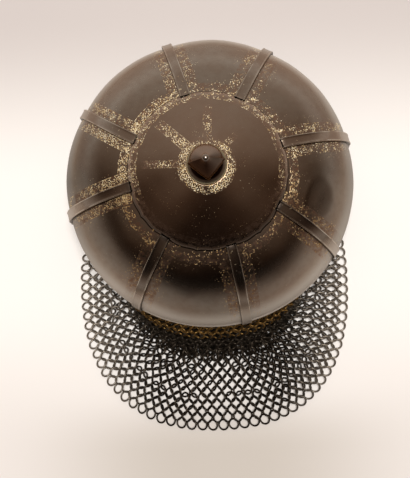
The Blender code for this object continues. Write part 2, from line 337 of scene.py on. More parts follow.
SKULL_LIP = (
    # radius, height above the rim, down the outside and up the inside
    (100.0, 5.4), (100.0, 3.9), (100.08, 3.5), (100.55, 3.3), (101.1, 3.0),
    (101.4, 2.4), (101.42, 1.3), (101.35, 0.6), (101.1, 0.15), (100.6, 0.0),
    (99.0, 0.0), (98.5, 0.2), (98.4, 0.6), (98.4, 4.0),
)
LIP_INSIDE = 4


def plate_rise(r, azimuth, height, bulge):
    """How far the beaten plate stands out from the plain shape: cushions, waviness and a dent."""
    width, length, depth, bank = 12.0, 7.5, 0.55, 0.14
    wave = 0.20 * unevenness(*polar(r, azimuth, height).T) * cushion(share_row) * bulge
    from_dent = (azimuth - DENT_AZIMUTH + 180.0) % 360.0 - 180.0
    reach = np.hypot(np.radians(from_dent) * r / width, (r - DENT_RADIUS) / length)
    dent = bank * np.exp(-((reach - 1.2) / 0.3) ** 2) - depth * np.exp(-reach ** 2 * 1.4)
    return PANEL_BULGE * bulge * cushion(share_row) + wave + dent


def make_skull(material):
    """The beaten skull as one closed shell: under the crown plate, down the outside and up the inside."""
    at_crown = math.degrees(math.acos(CROWN_RADIUS / SKULL_RADIUS))
    steps = 54
    near = (-0.3, 0.1, 0.3, 0.5, 0.7, 1.0, 1.4, 2.0, 2.8, 3.8, 5.0, 6.2, 7.4, 8.6)
    past_near = math.degrees(math.acos((CROWN_RADIUS + 10.4) / SKULL_RADIUS))
    far = SKULL_RADIUS * np.cos(np.radians(past_near * (1.0 - np.arange(steps + 1) / steps)))
    shift_edge = crown_edge(share_row) - CROWN_RADIUS
    radii = [CROWN_RADIUS + beyond + shift_edge * (1.0 - smooth(beyond, 3.6, 9.4)) for beyond in near]
    radii += [np.full(len(share_row), r) for r in far]
    outer, inner, along = [], [], []
    for r in radii:
        h = shoulder(r)
        normal = np.stack(shoulder_normal(r))
        normal /= np.linalg.norm(normal, axis=0)
        angle = np.degrees(np.arccos(np.clip(r / SKULL_RADIUS, 0.0, 1.0)))
        bulge = np.maximum(np.sin(np.pi * np.clip(angle / at_crown, 0.0, 1.0)), 0.0) ** 0.8
        azimuth = columns_azimuth(r)
        rise = plate_rise(r, azimuth, RIM + h, bulge)
        for side, offset in ((outer, rise), (inner, rise - SKULL_PLATE)):
            side.append(polar(r + offset * normal[0], azimuth, RIM + h + offset * normal[1]))
        along.append(SKULL_RADIUS * np.radians(angle) * 0.86)
    top = [2.0, 13.0, 20.0, 27.0, 34.0, 41.0, 47.0]
    rings = [polar(r, columns_azimuth(r), RIM + crown(r)) for r in top]
    rings += outer
    rings += [polar(r, columns_azimuth(r), RIM + z) for r, z in SKULL_LIP]
    rings += inner[::-1]
    rings += [polar(r, columns_azimuth(r), RIM + crown(r) - SKULL_PLATE * 1.1) for r in top[::-1]]
    points, quads = closed_shell(np.array(rings))
    all_radii = top + radii + [r for r, _ in SKULL_LIP] + radii[::-1] + top[::-1]
    far_inside = len(radii) + len(top)
    runs = [-10.0] * len(top) + along + [-2.0] * len(SKULL_LIP) + [300.0] * far_inside
    values = band_values(all_radii, runs)
    inside = np.arange(len(all_radii)) >= len(all_radii) - far_inside - LIP_INSIDE
    values["inside"] = np.repeat(inside[:, None], len(share_row), axis=1)
    azimuths = [columns_azimuth(r) for r in all_radii]
    values["low"] = [below_crown(azimuth) for azimuth in azimuths]
    values["radius"] = [r + np.zeros(len(share_row)) for r in all_radii]
    values["keep"] = [gold_left(*place) for place in zip(azimuths, all_radii)]
    # painted shade and sheen per side of the skull, partly dirt by the rim
    values["shade"] = [dirt_and_painted_shade(*place) for place in zip(azimuths, all_radii)]
    build("skull_plates", points, quads, material, ["skull"], 50.0, closed_values(values))


def make_crown(material):
    """The crown plate as a closed shell, with a rounded border that follows its lobes."""
    steps = 40
    inner_end, outer_end = 3.0, 46.8
    edge = crown_edge(share_row)
    azimuth = columns_azimuth(CROWN_RADIUS)
    rings, reach = [], []
    for r in inner_end + (outer_end - inner_end) * np.arange(steps + 1) / steps:
        flat = polar(r, azimuth, RIM + crown_top(r))
        ripple = 0.12 * min(max((r - SEAT_RADIUS) / 8.0, 0.0), 1.0)
        flat[:, 2] += ripple * unevenness(*flat.T)
        rings.append(flat)
        reach.append(np.full_like(azimuth, r))
    border = (
        # inset from the edge, drop below the plate's top
        (3.4, 0.0),
        (2.8, 0.03),
        (2.2, 0.10),
        (1.6, 0.22),
        (1.1, 0.38),
        (0.7, 0.54),
        (0.4, 0.70),
        (0.18, 0.88),
        (0.04, 1.08),
        (0.0, 1.35),
    )
    for inset, drop in border:
        rings.append(polar(edge - inset, azimuth, RIM + crown_top(edge - inset) - drop))
        reach.append(edge - inset)
    rings.append(polar(edge - 0.1, azimuth, RIM + shoulder(edge) + 0.45))
    reach.append(edge)
    for r in (47.0, 41.0, 27.0, 13.0, inner_end):
        rings.append(polar(r, azimuth, RIM + crown(r) + GAP))
        reach.append(np.full_like(azimuth, r))
    points, quads = closed_shell(np.array(rings))
    values = closed_values({
        "radius": reach,
        "ring": reach - edge,
        "keep": [gold_left(azimuth, CROWN_RADIUS)] * len(reach),
        "low": [below_crown(azimuth)] * len(reach),
    })
    build("crown_dome", points, quads, material, ["crown_plate"], 50.0, values)


def rib_line():
    """Radius, height above the rim and outward direction of a rib's foot, and the rib's rise there."""
    steps = 60
    under_crown, beside_crown, clear_of_crown = 51.62, 52.25, 53.3
    radii = [under_crown, beside_crown]
    last = math.degrees(math.acos(clear_of_crown / SKULL_RADIUS))
    radii += [SKULL_RADIUS * math.cos(math.radians(last * (1.0 - i / steps))) for i in range(steps + 1)]
    line = [(r, float(shoulder(r)), shoulder_normal(r)) for r in radii]
    line[0] = (*line[0][:2], (-0.30, 0.954))
    sideways = (1.0, 0.0)
    line += [(SKULL_RADIUS, 6.0, sideways), (SKULL_RADIUS, 4.6, sideways)]
    rises = list(np.linspace(RIB_RISE_INNER, RIB_RISE_OUTER, len(line)))
    over_lip = (
        # past the skull's radius, height above the rim, rise
        (0.5, 3.2, 1.75),
        (1.4, 2.2, 1.15),
        (1.4, 0.6, 1.05),
        (1.4, 0.0, 0.75),
    )
    line += [(SKULL_RADIUS + past, height, sideways) for past, height, _ in over_lip]
    return line, rises + [rise for _, _, rise in over_lip]


RIB_SECTION = (
    # from the edge to near the middle: across as a share of the half width, below the rib's top
    (1.0, None),
    (1.0, 0.9),
    (0.985, 0.5),
    (0.94, 0.2),
    (0.87, 0.03),
    (0.81, 0.0),
    (0.75, 0.04),
    (0.65, 0.17),
    (0.4, 0.24),
)


def make_ribs(material):
    """Straps with a raised border along each edge, lower where they pass over the lip."""
    line, rises = rib_line()
    section = [(-side, below) for side, below in RIB_SECTION] + [(0.0, 0.26)] + list(RIB_SECTION[::-1])
    run = np.repeat([SKULL_RADIUS - r for r, _, _ in line], len(section))
    place = np.tile([side * RIB_HALF for side, _ in section], len(line))
    for number in range(PANELS):
        rings = []
        for (r, h, normal), rise in zip(line, rises):
            length = math.hypot(*normal)
            away, up = normal[0] / length, normal[1] / length
            turn = math.radians(float(rib_azimuth(number, r)))
            across = np.array((-math.sin(turn), math.cos(turn), 0.0))
            raised = np.array((away * math.cos(turn), away * math.sin(turn), up))
            foot = np.array((r * math.cos(turn), r * math.sin(turn), RIM + h)) + GAP * 0.3 * raised
            lifts = [0.0 if below is None else rise - below * min(rise / 2.0, 1.0) for _, below in section]
            rings.append([foot + side * RIB_HALF * across + lift * raised
                          for (side, _), lift in zip(section, lifts)])
        points, quads = closed_shell(np.array(rings))
        low = float(below_crown(RIB_AZIMUTHS[number][1]))
        values = {"run": np.append(run, (60.0, 0.0)), "across": np.append(place, (0.0, 0.0)),
                  "low": np.full(len(points), low)}
        build("rib_strap_%d" % (number + 1), points, quads, material,
              ["rib_%d" % (number + 1)], 40.0, values)


FINIAL_RINGS = (
    # height, radius, squareness
    (0.0, 11.9, 0.0), (0.25, 12.3, 0.0), (1.0, 12.75, 0.0), (2.1, 12.8, 0.0),
    (3.1, 12.45, 0.0), (3.7, 11.9, 0.0), (4.1, 10.9, 0.0), (4.5, 9.9, 0.0),
    (4.9, 8.9, 0.0), (5.4, 8.1, 0.0), (6.1, 7.7, 0.0), (6.6, 7.9, 0.1),
    (7.2, 8.6, 0.3), (8.0, 9.6, 0.6), (9.0, 10.6, 0.85), (10.0, 11.3, 1.0),
    (11.0, 11.7, 1.0), (12.0, 11.7, 1.0), (13.2, 11.2, 1.0), (14.6, 10.3, 1.0),
    (16.0, 9.2, 1.0), (17.6, 7.8, 1.0), (19.2, 6.3, 0.95), (20.6, 5.0, 0.9),
    (21.9, 3.8, 0.8), (23.0, 2.95, 0.6), (23.8, 2.4, 0.4), (24.35, 1.95, 0.2),
    (24.7, 1.5, 0.0), (24.93, 1.0, 0.0), (25.05, 0.5, 0.0),
)


def make_finial(material):
    """A bud with three corners and a round side towards +Y, on a neck and a turned collar."""
    collar_top, neck_end, tip = 4.0, 8.0, 25.12
    seat = RIM + float(crown_top(0.0)) + GAP
    sides = 144
    corner = math.radians(5.0)
    round_side = math.radians(95.0)
    turn = corner + 2.0 * np.pi * np.arange(sides) / sides
    within = (turn - corner) % (np.pi / 2.0) - np.pi / 4.0
    square = math.cos(math.pi / 4.0) / np.cos(within)
    away = np.cos(turn - round_side)
    flat = 1.0 - smooth(away, -0.05, 0.40)
    to_right = ((turn - corner) / (np.pi / 2.0)) % 4.0 - 3.0
    # painted shade: the bud's sides towards -Y near black, the right one fading lighter, and the round side
    # darker towards its edges
    facet = (1.0 - smooth(away, -0.04, 0.06)) * (1.0 - 0.30 * np.clip(to_right, 0.0, 1.0) ** 1.5)
    facet = np.maximum(facet, 0.8 * (1.0 - smooth(away, 0.0, 0.85)))
    rings, painted_bud_shades, collar = [], [], []
    for height, radius, squareness in FINIAL_RINGS[::-1]:
        reach = radius * (1.0 + squareness * (flat * (square - 1.0) * 0.92 - 0.10 * (1.0 - flat)))
        rings.append(polar(reach, np.degrees(turn), seat + height))
        # the painted shade fades near the tip; the neck is painted dark as in shadow
        on_bud = (height > neck_end) * (1.0 - 0.8 * float(smooth(height, 23.4, 24.9)))
        painted_bud_shades.append(facet * on_bud + (collar_top + 0.4 < height <= neck_end))
        collar.append(np.full(sides, float(height < collar_top)))
    points, quads = closed_shell(np.array(rings))
    points[-2, 2] = seat + tip
    values = {"facet": np.append(painted_bud_shades, (0.0, 0.0)), "collar": np.append(collar, (0.0, 0.0))}
    build("finial_bud", points, quads, material, ["finial"], 26.0, values)


# ------------------------------ mail

def ring_template(around, tube):
    """Points and quads of one ring lying flat."""
    turn = 2.0 * np.pi * np.arange(around) / around
    section = 2.0 * np.pi * np.arange(tube) / tube
    turn, section = np.meshgrid(turn, section, indexing="ij")
    reach = RING_RADIUS + WIRE * np.cos(section)
    points = np.stack((reach * np.cos(turn), reach * np.sin(turn), WIRE * np.sin(section)), axis=-1)
    i, k = np.meshgrid(np.arange(around), np.arange(tube), indexing="ij")
    after_i, after_k = (i + 1) % around, (k + 1) % tube
    corners = (i * tube + k, after_i * tube + k, after_i * tube + after_k, i * tube + after_k)
    return points.reshape(-1, 3), np.stack(corners, axis=-1).reshape(-1, 4)


def make_rings(name, rings, material, replaced, around=AROUND, tube=TUBE):
    """One joined mesh of rings, each a centre and its two plane directions and normal as rows."""
    template, quads = ring_template(around, tube)
    centres, bases = np.array([centre for centre, _ in rings]), np.array([base for _, base in rings])
    points = np.einsum("pj,rjk->rpk", template, bases) + centres[:, None, :]
    first = np.arange(len(rings)) * len(template)
    all_quads = quads[None, :, :] + first[:, None, None]
    tint = np.repeat(noise_random.random(len(rings)), len(template))
    build(name, points.reshape(-1, 3), all_quads.reshape(-1, 4), material, [replaced],
          values={"tint": tint})


def ring_base(tangent, inward, normal, lean, roll):
    """Plane of a ring leant about the row and rolled about the direction across the rows."""
    leant = math.cos(lean) * normal + math.sin(lean) * inward
    across = np.cross(leant, tangent)
    rolled = math.cos(roll) * leant + math.sin(roll) * tangent
    x = np.cross(across, rolled)
    x /= np.linalg.norm(x)
    y = np.cross(rolled, x)
    return np.stack((x, y, rolled / np.linalg.norm(rolled)))


def ring_reach(base):
    """How far a ring reaches above and below its centre."""
    return RING_RADIUS * math.sqrt(max(1.0 - base[2][2] ** 2, 0.0)) + WIRE


def jitter(*amounts):
    return np.array([random.uniform(low, high) for low, high in amounts])


def round_axis(angle):
    """Outward and sideways directions at an angle from the back."""
    turn = math.radians(angle)
    out = np.array((math.sin(turn), -math.cos(turn), 0.0))
    return out, np.array((math.cos(turn), math.sin(turn), 0.0))


def lengths_along(points):
    """Length along a line of points, from its first."""
    return np.concatenate(([0.0], np.cumsum(np.linalg.norm(np.diff(points, axis=0), axis=1))))


def curve_points(radius_of, count=1200):
    angle = np.linspace(-MAIL_END, MAIL_END, count)
    r = radius_of(angle)
    points = np.stack((r * np.sin(np.radians(angle)), -r * np.cos(np.radians(angle))), axis=-1)
    return points, lengths_along(points)


def at_arc(points, arc, where):
    return np.array((np.interp(where, arc, points[:, 0]), np.interp(where, arc, points[:, 1])))


WAIST_COLUMNS = 84
WAIST_STEP = 2.0
HANGING_COLUMNS = 68
HANGING_SPACING = 4.7
HANGING_ROWS = 9
BRASS_ROWS = 3
LYING_ROWS = 15


def weave(angle):
    """Pitch along a row, distance between rows and the even and odd rows' rolls, by angle from the back."""
    side = np.clip(-np.sin(np.radians(angle)) * 1.3, -1.0, 1.0)
    left, right = np.maximum(side, 0.0), np.maximum(-side, 0.0)
    pitch = 7.55 - 0.55 * left - 0.9 * right
    spacing = 4.75 - 0.5 * left - 0.95 * right
    even = 28.0 + 15.0 * left - 12.0 * right
    odd = 28.0 - 15.0 * left + 26.0 * right
    return pitch, spacing, even, odd


def lying_rings():
    """Rings spread on the surface, in rows that follow the hem."""
    hem, hem_arc = curve_points(hem_radius)
    ahead = at_arc(hem, hem_arc, hem_arc + 6.0) - at_arc(hem, hem_arc, hem_arc - 6.0)
    ahead = (ahead / np.linalg.norm(ahead, axis=0)).T
    inward = np.stack((-ahead[:, 1], ahead[:, 0]), axis=-1)
    angles = np.degrees(np.arctan2(hem[:, 0], -hem[:, 1]))
    pitches, spacings = weave(angles)[:2]

    def insets(row):
        return 3.8 + spacings * (row + 0.12 * min(row, 1.0) - 0.010 * max(row - 2.0, 0.0) ** 2)

    rings = []
    for row in range(LYING_ROWS):
        # rows get shorter inwards: columns are counted anew every five rows, and stay closer towards +X
        again = insets(row - row % 5 + 0.6) * (1.0 - 0.28 * smooth(angles, 4.0, 28.0))
        counted_on = hem + again[:, None] * inward
        steps = np.linalg.norm(np.diff(counted_on, axis=0), axis=1) / ((pitches[1:] + pitches[:-1]) / 2.0)
        counted = np.concatenate(([0.0], np.cumsum(steps)))
        counted -= np.interp(0.0, angles, counted) % 1.0
        line = hem + insets(row)[:, None] * inward
        squeeze = np.linalg.norm(np.gradient(line, axis=0), axis=1) / (np.gradient(counted) * pitches)
        for column in range(int(counted[-1])):
            place = column + 0.5 + 0.5 * (row % 2)
            p, along = at_arc(line, counted, place), at_arc(ahead, counted, place)
            ease = min(row / 6.0, 1.0)
            sway = np.array((1.0 * math.sin(p[1] / 11.0 + 0.7), 0.9 * math.sin(p[0] / 12.0 + 0.4)))
            p = p + ease * sway
            to_foot = np.hypot(p[0], p[1]) - float(foot_radius(np.degrees(np.arctan2(p[0], -p[1]))))
            if to_foot < -1.0 + math.sin(column * 1.7):
                continue
            narrow = 0.4 + 0.6 * min(max(float(np.interp(place, counted, squeeze)), 0.3), 1.0)
            rolls = [math.radians(float(roll)) for roll in weave(np.interp(place, counted, angles))[2:]]
            even, odd = [math.degrees(math.acos(math.cos(roll) * narrow)) for roll in rolls]
            tangent = np.array((along[0], along[1], 0.0)) / np.linalg.norm(along)
            roll = (odd if row % 2 else -even) * (0.86 if row == 0 else 1.0)
            loose = 1.0 + 1.8 * min(max(1.0 - to_foot / 22.0, 0.0), 1.0) ** 2
            roll = math.radians(roll + random.uniform(-4.0, 4.0) * loose)
            lean = math.radians((4.0 if row % 2 else -4.0) + random.uniform(-5.0, 5.0) * loose)
            base = ring_base(tangent, np.cross(UP, tangent), UP, lean, roll)
            level = RING_RADIUS * math.sin(math.radians(max(even, odd))) * 0.85 + WIRE
            centre = np.array((p[0], p[1], max(ring_reach(base), level) + CLEARANCE))
            moved = centre + jitter((-0.2, 0.2), (-0.2, 0.2), (0.0, 0.12)) * loose
            rings.append((moved, base))
    return rings


def waist_rings():
    """Bunched rings where the hanging part meets the surface."""
    rings = []
    for inset, height in ((-0.5, 3.6), (2.5, 4.4), (5.5, 5.0)):
        for column in range(WAIST_COLUMNS):
            angle = WAIST_STEP * (column - WAIST_COLUMNS / 2.0) + random.uniform(-0.5, 0.5)
            out, tangent = round_axis(angle)
            lean = math.radians(random.uniform(-45.0, 45.0))
            roll = math.radians(random.uniform(20.0, 50.0) * (1.0 if column % 2 else -1.0))
            base = ring_base(tangent, -out, UP, lean, roll)
            radius = float(foot_radius(angle)) - inset + random.uniform(-0.6, 0.6)
            rings.append((radius * out + max(height, ring_reach(base) + CLEARANCE) * UP, base))
    return rings


def hanging_rings(inset, loose):
    """Rows of rings between the rim and the foot, at a distance inside the mail's outer surface."""
    rows = []
    top = RIM - GAP
    share = np.linspace(0.0, 1.0, 60)
    for row in range(HANGING_ROWS):
        rings = []
        where = 3.2 + row * HANGING_SPACING
        for column in range(HANGING_COLUMNS):
            step = (column + 0.5 + 0.5 * (row % 2)) / (HANGING_COLUMNS + 0.5)
            angle = -MAIL_END + 2.0 * MAIL_END * step
            foot = float(foot_radius(angle))
            r = MAIL_TOP_RADIUS + (foot - MAIL_TOP_RADIUS) * share ** 0.95 - inset
            z = top - (top - 1.0) * share
            profile = np.stack((r, z), axis=-1)
            arc = lengths_along(profile)
            if where > arc[-1] - 2.2:
                continue
            radius, height = at_arc(profile, arc, where)
            ahead = at_arc(profile, arc, where + 1.0) - (radius, height)
            ahead /= np.linalg.norm(ahead)
            out, tangent = round_axis(angle)
            down = ahead[0] * out + ahead[1] * UP
            normal = np.cross(tangent, -down)
            if normal @ out < 0.0:
                normal = -normal
            roll = math.radians((20.0 if row % 2 else -20.0) + random.uniform(-5.0, 5.0) * loose)
            lean = math.radians((6.0 if row % 2 else -6.0) + random.uniform(-5.0, 5.0) * loose)
            base = ring_base(tangent, -down, normal, lean, roll)
            centre = radius * out + height * UP + jitter(*[(-0.25, 0.25)] * 3) * loose
            reach = ring_reach(base)
            centre[2] = min(max(centre[2], reach + CLEARANCE), top - reach)
            rings.append((centre, base))
        rows.append(rings)
    return rows


def make_mail(steel, brass):
    lying = lying_rings()
    half = len(lying) // 2
    make_rings("mail_lying_outer", lying[:half], steel, "aventail")
    make_rings("mail_lying_inner", lying[half:], steel, "aventail")
    outer = hanging_rings(0.0, 1.0)
    # inner layers of bunched mail, which also stand in for the shade inside the hanging part
    folds_and_shade = hanging_rings(4.0, 3.0) + hanging_rings(7.5, 4.0) + [waist_rings()]
    make_rings("mail_brass_rows", sum(outer[:BRASS_ROWS], []), brass, "aventail_border")
    make_rings("mail_hanging", sum(outer[BRASS_ROWS:], []), steel, "aventail")
    make_rings("mail_folds_and_shade", sum(folds_and_shade, []), steel, "aventail", 14, 5)


# ------------------------------ materials

def arithmetic(operation, swapped=False):
    """A method that makes a math node of two values."""
    def method(self, other):
        a, b = (other, self) if swapped else (self, other)
        return self.graph.math(operation, a, b)
    return method


class Value:
    """A node's output, which takes part in arithmetic."""

    def __init__(self, graph, socket):
        self.graph = graph
        self.socket = socket

    __add__, __radd__ = arithmetic("ADD"), arithmetic("ADD", True)
    __sub__, __rsub__ = arithmetic("SUBTRACT"), arithmetic("SUBTRACT", True)
    __mul__, __rmul__ = arithmetic("MULTIPLY"), arithmetic("MULTIPLY", True)
    __truediv__ = arithmetic("DIVIDE")
    __pow__ = arithmetic("POWER")

    def __abs__(self):
        return self.graph.math("ABSOLUTE", self)


class Graph:
    """Short calls for building a node tree; what they give back is a Value."""

    def __init__(self, tree):
        self.tree = tree
        tree.nodes.clear()

    def link(self, source, target):
        """Joins a value, a number or a colour to an input."""
        if isinstance(source, Value):
            self.tree.links.new(source.socket, target)
        elif isinstance(source, tuple):
            target.default_value = source if len(source) == len(target.default_value) else (*source, 1.0)
        else:
            target.default_value = source

    def node(self, kind, inputs, output=0, **settings):
        """A node with some of its inputs filled, and one of its outputs."""
        made = self.tree.nodes.new(kind)
        for key, value in settings.items():
            setattr(made, key, value)
        for key, value in inputs.items():
            self.link(value, made.inputs[key])
        return Value(self, made.outputs[output]) if made.outputs else None

    def math(self, operation, a, b=0.0):
        return self.node("ShaderNodeMath", {0: a, 1: b}, operation=operation)

    def maximum(self, *items):
        result = items[0]
        for item in items[1:]:
            result = self.math("MAXIMUM", result, item)
        return result

    def step(self, value, low, high):
        """0 below low, 1 above high; low may be above high for the reverse."""
        first = 0.0 if low <= high else 1.0
        inputs = {"Value": value, "From Min": min(low, high), "From Max": max(low, high),
                  "To Min": first, "To Max": 1.0 - first}
        return self.node("ShaderNodeMapRange", inputs, "Result", interpolation_type="SMOOTHSTEP")

    def near(self, value, centre, half, soft=0.1):
        """1 within half of centre, falling to 0 over soft."""
        return self.step(abs(value - centre), half + soft, half)

    def attribute(self, name):
        return self.node("ShaderNodeAttribute", {}, "Fac", attribute_name=name, attribute_type="GEOMETRY")

    def coordinates(self, kind="Object"):
        return self.node("ShaderNodeTexCoord", {}, kind)

    def vector(self, x, y, z=0.0):
        return self.node("ShaderNodeCombineXYZ", {0: x, 1: y, 2: z})

    def apart(self, vector):
        """The three parts of a vector."""
        made = self.node("ShaderNodeSeparateXYZ", {0: vector}).socket.node
        return [Value(self, output) for output in made.outputs]

    def scaled(self, vector, factor):
        return self.node("ShaderNodeVectorMath", {0: vector, "Scale": factor}, operation="SCALE")

    def turned(self, vector, rotation, scale):
        return self.node("ShaderNodeMapping", {"Vector": vector, "Rotation": rotation, "Scale": scale})

    def noise(self, where, scale, detail=3.0, rough=0.5):
        inputs = {"Vector": where, "Scale": scale, "Detail": detail, "Roughness": rough}
        return self.node("ShaderNodeTexNoise", inputs, "Fac")

    def voronoi(self, where, scale):
        return self.node("ShaderNodeTexVoronoi", {"Vector": where, "Scale": scale}, "Distance")

    def mix(self, share, a, b):
        """A colour between a and b, which are the mix node's inputs 6 and 7."""
        return self.node("ShaderNodeMix", {0: share, 6: a, 7: b}, 2, data_type="RGBA")

    def lerp(self, share, a, b):
        return self.node("ShaderNodeMix", {0: share, 2: a, 3: b}, data_type="FLOAT")

    def bump(self, height, distance, strength):
        return self.node("ShaderNodeBump", {"Strength": strength, "Distance": distance, "Height": height})

    def principled(self, **inputs):
        surface = {key.replace("_", " "): value for key, value in inputs.items()}
        self.node("ShaderNodeOutputMaterial", {0: self.node("ShaderNodeBsdfPrincipled", surface)})


def material(name):
    made = bpy.data.materials.new(name)
    made.use_nodes = True
    return made, Graph(made.node_tree)


def azimuth_of(g):
    """Azimuth round the skull's axis, -180 to 180 degrees."""
    x, y, _ = g.apart(g.coordinates())
    return g.math("ARCTAN2", y - AXIS.y, x - AXIS.x) * (180.0 / math.pi)


def scrolls(g, along, across, width, period, thick):
    """Gold scrollwork in a band: a vine with a spiral in each bend, its two border lines and its area."""
    half = period / 2.0
    cell = g.math("FLOOR", along / half)
    x = along - cell * half - half / 2.0
    sign = g.math("PINGPONG", cell, 1.0) * 2.0 - 1.0
    middle = across - width / 2.0
    y = middle - sign * (width * 0.12)
    radius = g.math("SQRT", x * x + y * y)
    turn = g.math("ARCTAN2", y, x) * (1.0 / (2.0 * math.pi))
    gap = thick * 3.2
    curl = g.math("FRACT", radius / gap + turn * sign)
    spiral = g.near(curl, 0.5, thick / gap * 0.4, 0.14) * g.step(radius, width * 0.42, width * 0.36)
    wave = g.math("SINE", along * (2.0 * math.pi / period)) * (width * 0.26)
    vine = g.step(abs(middle - wave), thick * 0.8, thick * 0.35)
    leaves = g.step(g.voronoi(g.vector(along, across), 0.42), 0.30, 0.20)
    inner = g.near(across, 0.35, 0.14, 0.14)
    outer = g.near(across, width - 0.35, 0.14, 0.14)
    within = g.step(across, 0.5, 0.9) * g.step(across, width - 0.5, width - 0.9)
    field = g.maximum(spiral, vine, leaves) * within
    area = g.step(across, -0.2, 0.2) * g.step(across, width + 0.2, width - 0.2)
    return field, g.maximum(inner, outer), area


def worn(g, where, keep):
    """What is left after wear, from patches down to broken strokes."""
    patches = g.noise(where, 75.0, 3.0, 0.55)
    clumps = g.noise(where, 330.0, 2.0, 0.5)
    grains = g.noise(where, 950.0, 2.0, 0.5)
    level = patches * 0.28 + (clumps * 0.32 + grains * 0.4)
    edge = 0.593 - keep * 0.146
    return g.step(level - edge, -0.02, 0.03)


def russet(g, where, tint, shade):
    """Russet steel: colour and roughness with soft mottling."""
    cloud = g.noise(where, 24.0, 4.0, 0.6)
    fine = g.noise(where, 240.0, 3.0, 0.6)
    warm = g.mix(g.step(cloud, 0.3, 0.7), (0.285, 0.215, 0.165), (0.310, 0.262, 0.215))
    colour = g.mix(g.step(fine, 0.35, 0.75) * 0.25, warm, (0.19, 0.125, 0.090))
    colour = g.mix(tint, colour, (0.20, 0.085, 0.040))
    rough = 0.13 + (cloud * 0.07 + fine * 0.06)
    # scaled by the shade it is given, which carries painted shade
    return g.scaled(colour, shade), rough, fine


def steel_surface(g, gold, copper, dark, marks_and_sheen, shade, dust_and_sheen=None, red=0.0, haze=None, painted_gold_shade=None):
    """Russet steel with gold laid on it.

    Dust by the rim is made light enough to stand also for the rim's bright reflection, partly a painted
    sheen; red is a warmer steel and haze is roughness; dark is painted shade; the marks are scratches and,
    on the ribs, a painted highlight; the gold's shade darkens the gold as painted shade and leaves out its
    painted glints.
    """
    where = g.coordinates()
    colour, rough, fine = russet(g, where, copper, shade)
    colour = g.mix(red * 0.45, colour, (0.285, 0.185, 0.130))
    metal = 1.0 - copper * (0.25 if painted_gold_shade is None else 0.25 - painted_gold_shade * 0.19)
    if haze is not None:
        rough = rough + haze
    if dust_and_sheen is not None:
        # light dust by the rim, partly a painted sheen standing for the rim's bright reflection
        colour = g.mix(dust_and_sheen * 0.85, colour, g.scaled((0.46, 0.41, 0.355), shade))
        metal = metal - dust_and_sheen * 0.8
        rough = rough + dust_and_sheen * 0.3
    drawn_out = g.turned(where, (0.4, 0.2, 0.7), (1.0, 9.0, 4.0))
    # scratches, and on the ribs a painted highlight along the borders
    scratches_and_sheen = g.maximum(g.step(g.noise(drawn_out, 180.0, 2.0), 0.70, 0.78), marks_and_sheen)
    colour = g.mix(scratches_and_sheen * 0.55, colour, (0.46, 0.40, 0.33))
    # painted shade: near black in the creases and edges that the callers give
    colour = g.mix(dark, colour, (0.015, 0.010, 0.008))
    bright = g.step(g.noise(where, 1100.0, 2.0), 0.40, 0.66)
    gold_colour = g.mix(bright, (0.46, 0.27, 0.08), (1.0, 0.82, 0.45))
    # painted glints: near-white specks on the gold
    spark = g.step(g.noise(where, 1700.0, 2.0, 0.6), 0.49, 0.58)
    # painted shade on the gold towards -Y: darker, and without the painted glints
    if painted_gold_shade is not None:
        gold_colour = g.mix(painted_gold_shade * 0.45, gold_colour, (0.22, 0.095, 0.025))
        spark = spark * (1.0 - painted_gold_shade)
    gold_colour = g.mix(spark, gold_colour, (1.0, 0.93, 0.70))
    colour = g.mix(gold, colour, gold_colour)
    height = gold * 0.35 + (fine * 0.1 + g.noise(where, 900.0, 2.0) * 0.1)
    g.principled(
        Base_Color=colour,
        Metallic=g.lerp(gold, metal, 0.82 - spark * 0.72),
        Roughness=g.lerp(gold, rough + copper * 0.2, 0.50),
        Specular_Tint=(1.0, 0.90, 0.80),
        Normal=g.bump(height, 0.0003, 0.30),
    )


# width, period and stroke of the bands of scrollwork
RIB_BAND = (6.8, 7.6, 0.44)
EDGE_BAND = (6.2, 7.4, 0.44)
COLLAR_BAND = (5.9, 5.8, 0.42)
STRIP_PERIOD = 6.8
STRIP_STROKE = 0.44


